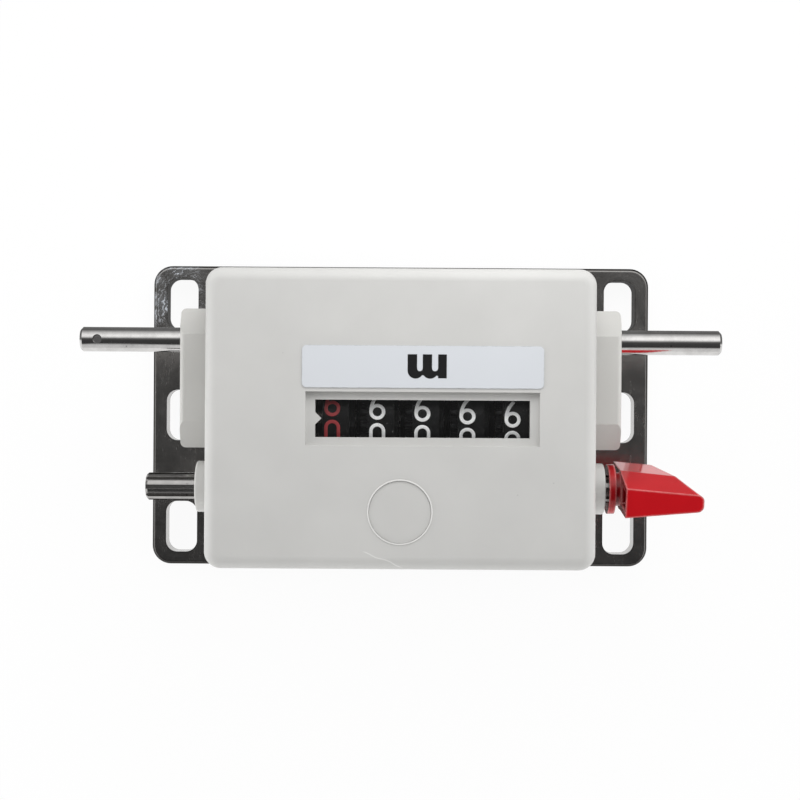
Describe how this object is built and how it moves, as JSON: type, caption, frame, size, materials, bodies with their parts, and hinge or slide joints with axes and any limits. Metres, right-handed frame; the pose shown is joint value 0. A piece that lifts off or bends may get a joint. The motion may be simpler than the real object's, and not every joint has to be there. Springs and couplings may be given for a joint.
{
  "type": "cable length counter",
  "caption": "Mechanical length counter with number wheels behind a window, a through drive shaft, a toothed reset shaft with a red wing key, and a slotted mounting plate.",
  "frame": {"origin": "middle of the mounting plate's underside", "axes": "+X along the shafts, from the wing key towards the toothed free end; +Y across the front, from the unit label towards the reset shaft; +Z out of the front, away from the plate"},
  "size_m": [0.1042, 0.053, 0.0426],
  "materials": {
    "plate_metal": "dark finish on the faces, rubbed bare along the edges",
    "housing_plastic": "fine moulded grain, pale warm grey",
    "cover_plastic": "fine moulded grain, pale warm grey",
    "collar_plastic": "moulded, pale grey",
    "pane_clear": "clear plastic pane",
    "label_film": "printed film, cool pale grey",
    "wheel_plastic": "black moulding, satin rim",
    "gear_plastic": "natural acetal",
    "key_plastic": "red gloss moulding",
    "shaft_steel": "ground bar",
    "axle_steel": "drawn bar",
    "sheet_steel": "zinc plated",
    "screw_steel": "zinc plated",
    "spring_steel": "oiled spring steel",
    "bush_bronze": "sintered bronze",
    "pin_brass": "drawn"
  },
  "bodies": {
    "frame": {"mounting_plate": "plate_metal", "housing_screws": "screw_steel", "foot_screws": "screw_steel", "housing": "housing_plastic", "window_pane": "pane_clear", "unit_label": "label_film", "frame_cheek_right": "sheet_steel", "frame_cheek_left": "sheet_steel", "side_cover_right": "cover_plastic", "side_cover_left": "cover_plastic", "drive_bush_right": "bush_bronze", "drive_bush_left": "bush_bronze", "reset_bush_right": "collar_plastic", "reset_bush_left": "collar_plastic", "tie_bars": "sheet_steel", "tie_screws": "screw_steel", "cover_screws": "screw_steel", "pinion_axle": "axle_steel", "pinion_spacers": "gear_plastic"},
    "drive": {"drive_shaft": "shaft_steel", "drive_shaft_clips": "spring_steel", "drive_gear": "gear_plastic", "gear_grub_screw": "screw_steel"},
    "tenths": {"tenths_wheel": "wheel_plastic", "tenths_pickup": "pin_brass", "input_gear": "gear_plastic"},
    "units": {"units_wheel": "wheel_plastic", "units_pickup": "pin_brass"},
    "tens": {"tens_wheel": "wheel_plastic", "tens_pickup": "pin_brass"},
    "hundreds": {"hundreds_wheel": "wheel_plastic", "hundreds_pickup": "pin_brass"},
    "thousands": {"thousands_wheel": "wheel_plastic", "thousands_pickup": "pin_brass"},
    "pinion_1": {"transfer_pinion_1": "gear_plastic"},
    "pinion_2": {"transfer_pinion_2": "gear_plastic"},
    "pinion_3": {"transfer_pinion_3": "gear_plastic"},
    "pinion_4": {"transfer_pinion_4": "gear_plastic"},
    "axle": {"wheel_axle": "axle_steel", "wheel_axle_clips": "spring_steel", "axle_spacers": "gear_plastic", "axle_gear": "gear_plastic"},
    "reset": {"reset_shaft": "shaft_steel", "reset_shaft_clip": "spring_steel", "reset_gear": "gear_plastic", "reset_key": "key_plastic"}
  },
  "joints": [
    {"name": "drive_turn", "type": "hinge", "parent": "frame", "child": "drive", "pos_m": [0, -0.0125, 0.0268], "axis": [1, 0, 0], "continuous": true},
    {"name": "tenths_turn", "type": "hinge", "parent": "frame", "child": "tenths", "pos_m": [0.0106, 0, 0.0317], "axis": [1, 0, 0], "continuous": true},
    {"name": "units_turn", "type": "hinge", "parent": "frame", "child": "units", "pos_m": [0.0036, 0, 0.0317], "axis": [1, 0, 0], "continuous": true},
    {"name": "tens_turn", "type": "hinge", "parent": "frame", "child": "tens", "pos_m": [-0.0034, 0, 0.0317], "axis": [1, 0, 0], "continuous": true},
    {"name": "hundreds_turn", "type": "hinge", "parent": "frame", "child": "hundreds", "pos_m": [-0.0104, 0, 0.0317], "axis": [1, 0, 0], "continuous": true},
    {"name": "thousands_turn", "type": "hinge", "parent": "frame", "child": "thousands", "pos_m": [-0.0174, 0, 0.0317], "axis": [1, 0, 0], "continuous": true},
    {"name": "pinion_1_turn", "type": "hinge", "parent": "frame", "child": "pinion_1", "pos_m": [0.0051, 0, 0.0226], "axis": [1, 0, 0], "continuous": true},
    {"name": "pinion_2_turn", "type": "hinge", "parent": "frame", "child": "pinion_2", "pos_m": [-0.0019, 0, 0.0226], "axis": [1, 0, 0], "continuous": true},
    {"name": "pinion_3_turn", "type": "hinge", "parent": "frame", "child": "pinion_3", "pos_m": [-0.0089, 0, 0.0226], "axis": [1, 0, 0], "continuous": true},
    {"name": "pinion_4_turn", "type": "hinge", "parent": "frame", "child": "pinion_4", "pos_m": [-0.0159, 0, 0.0226], "axis": [1, 0, 0], "continuous": true},
    {"name": "reset_turn", "type": "hinge", "parent": "frame", "child": "reset", "pos_m": [0, 0.0114, 0.0268], "axis": [1, 0, 0], "continuous": true},
    {"name": "axle_turn", "type": "hinge", "parent": "frame", "child": "axle", "pos_m": [0, 0, 0.0317], "axis": [1, 0, 0], "continuous": true}
  ],
  "couplings": [
    {"joint": "tenths_turn", "follows": "drive_turn", "ratio": -1},
    {"joint": "units_turn", "follows": "drive_turn", "ratio": -0.1},
    {"joint": "tens_turn", "follows": "drive_turn", "ratio": -0.01},
    {"joint": "hundreds_turn", "follows": "drive_turn", "ratio": -0.001},
    {"joint": "thousands_turn", "follows": "drive_turn", "ratio": -0.0001},
    {"joint": "pinion_1_turn", "follows": "drive_turn", "ratio": 0.25},
    {"joint": "pinion_2_turn", "follows": "drive_turn", "ratio": 0.025},
    {"joint": "pinion_3_turn", "follows": "drive_turn", "ratio": 0.0025},
    {"joint": "pinion_4_turn", "follows": "drive_turn", "ratio": 0.00025},
    {"joint": "axle_turn", "follows": "reset_turn", "ratio": -1}
  ]
}
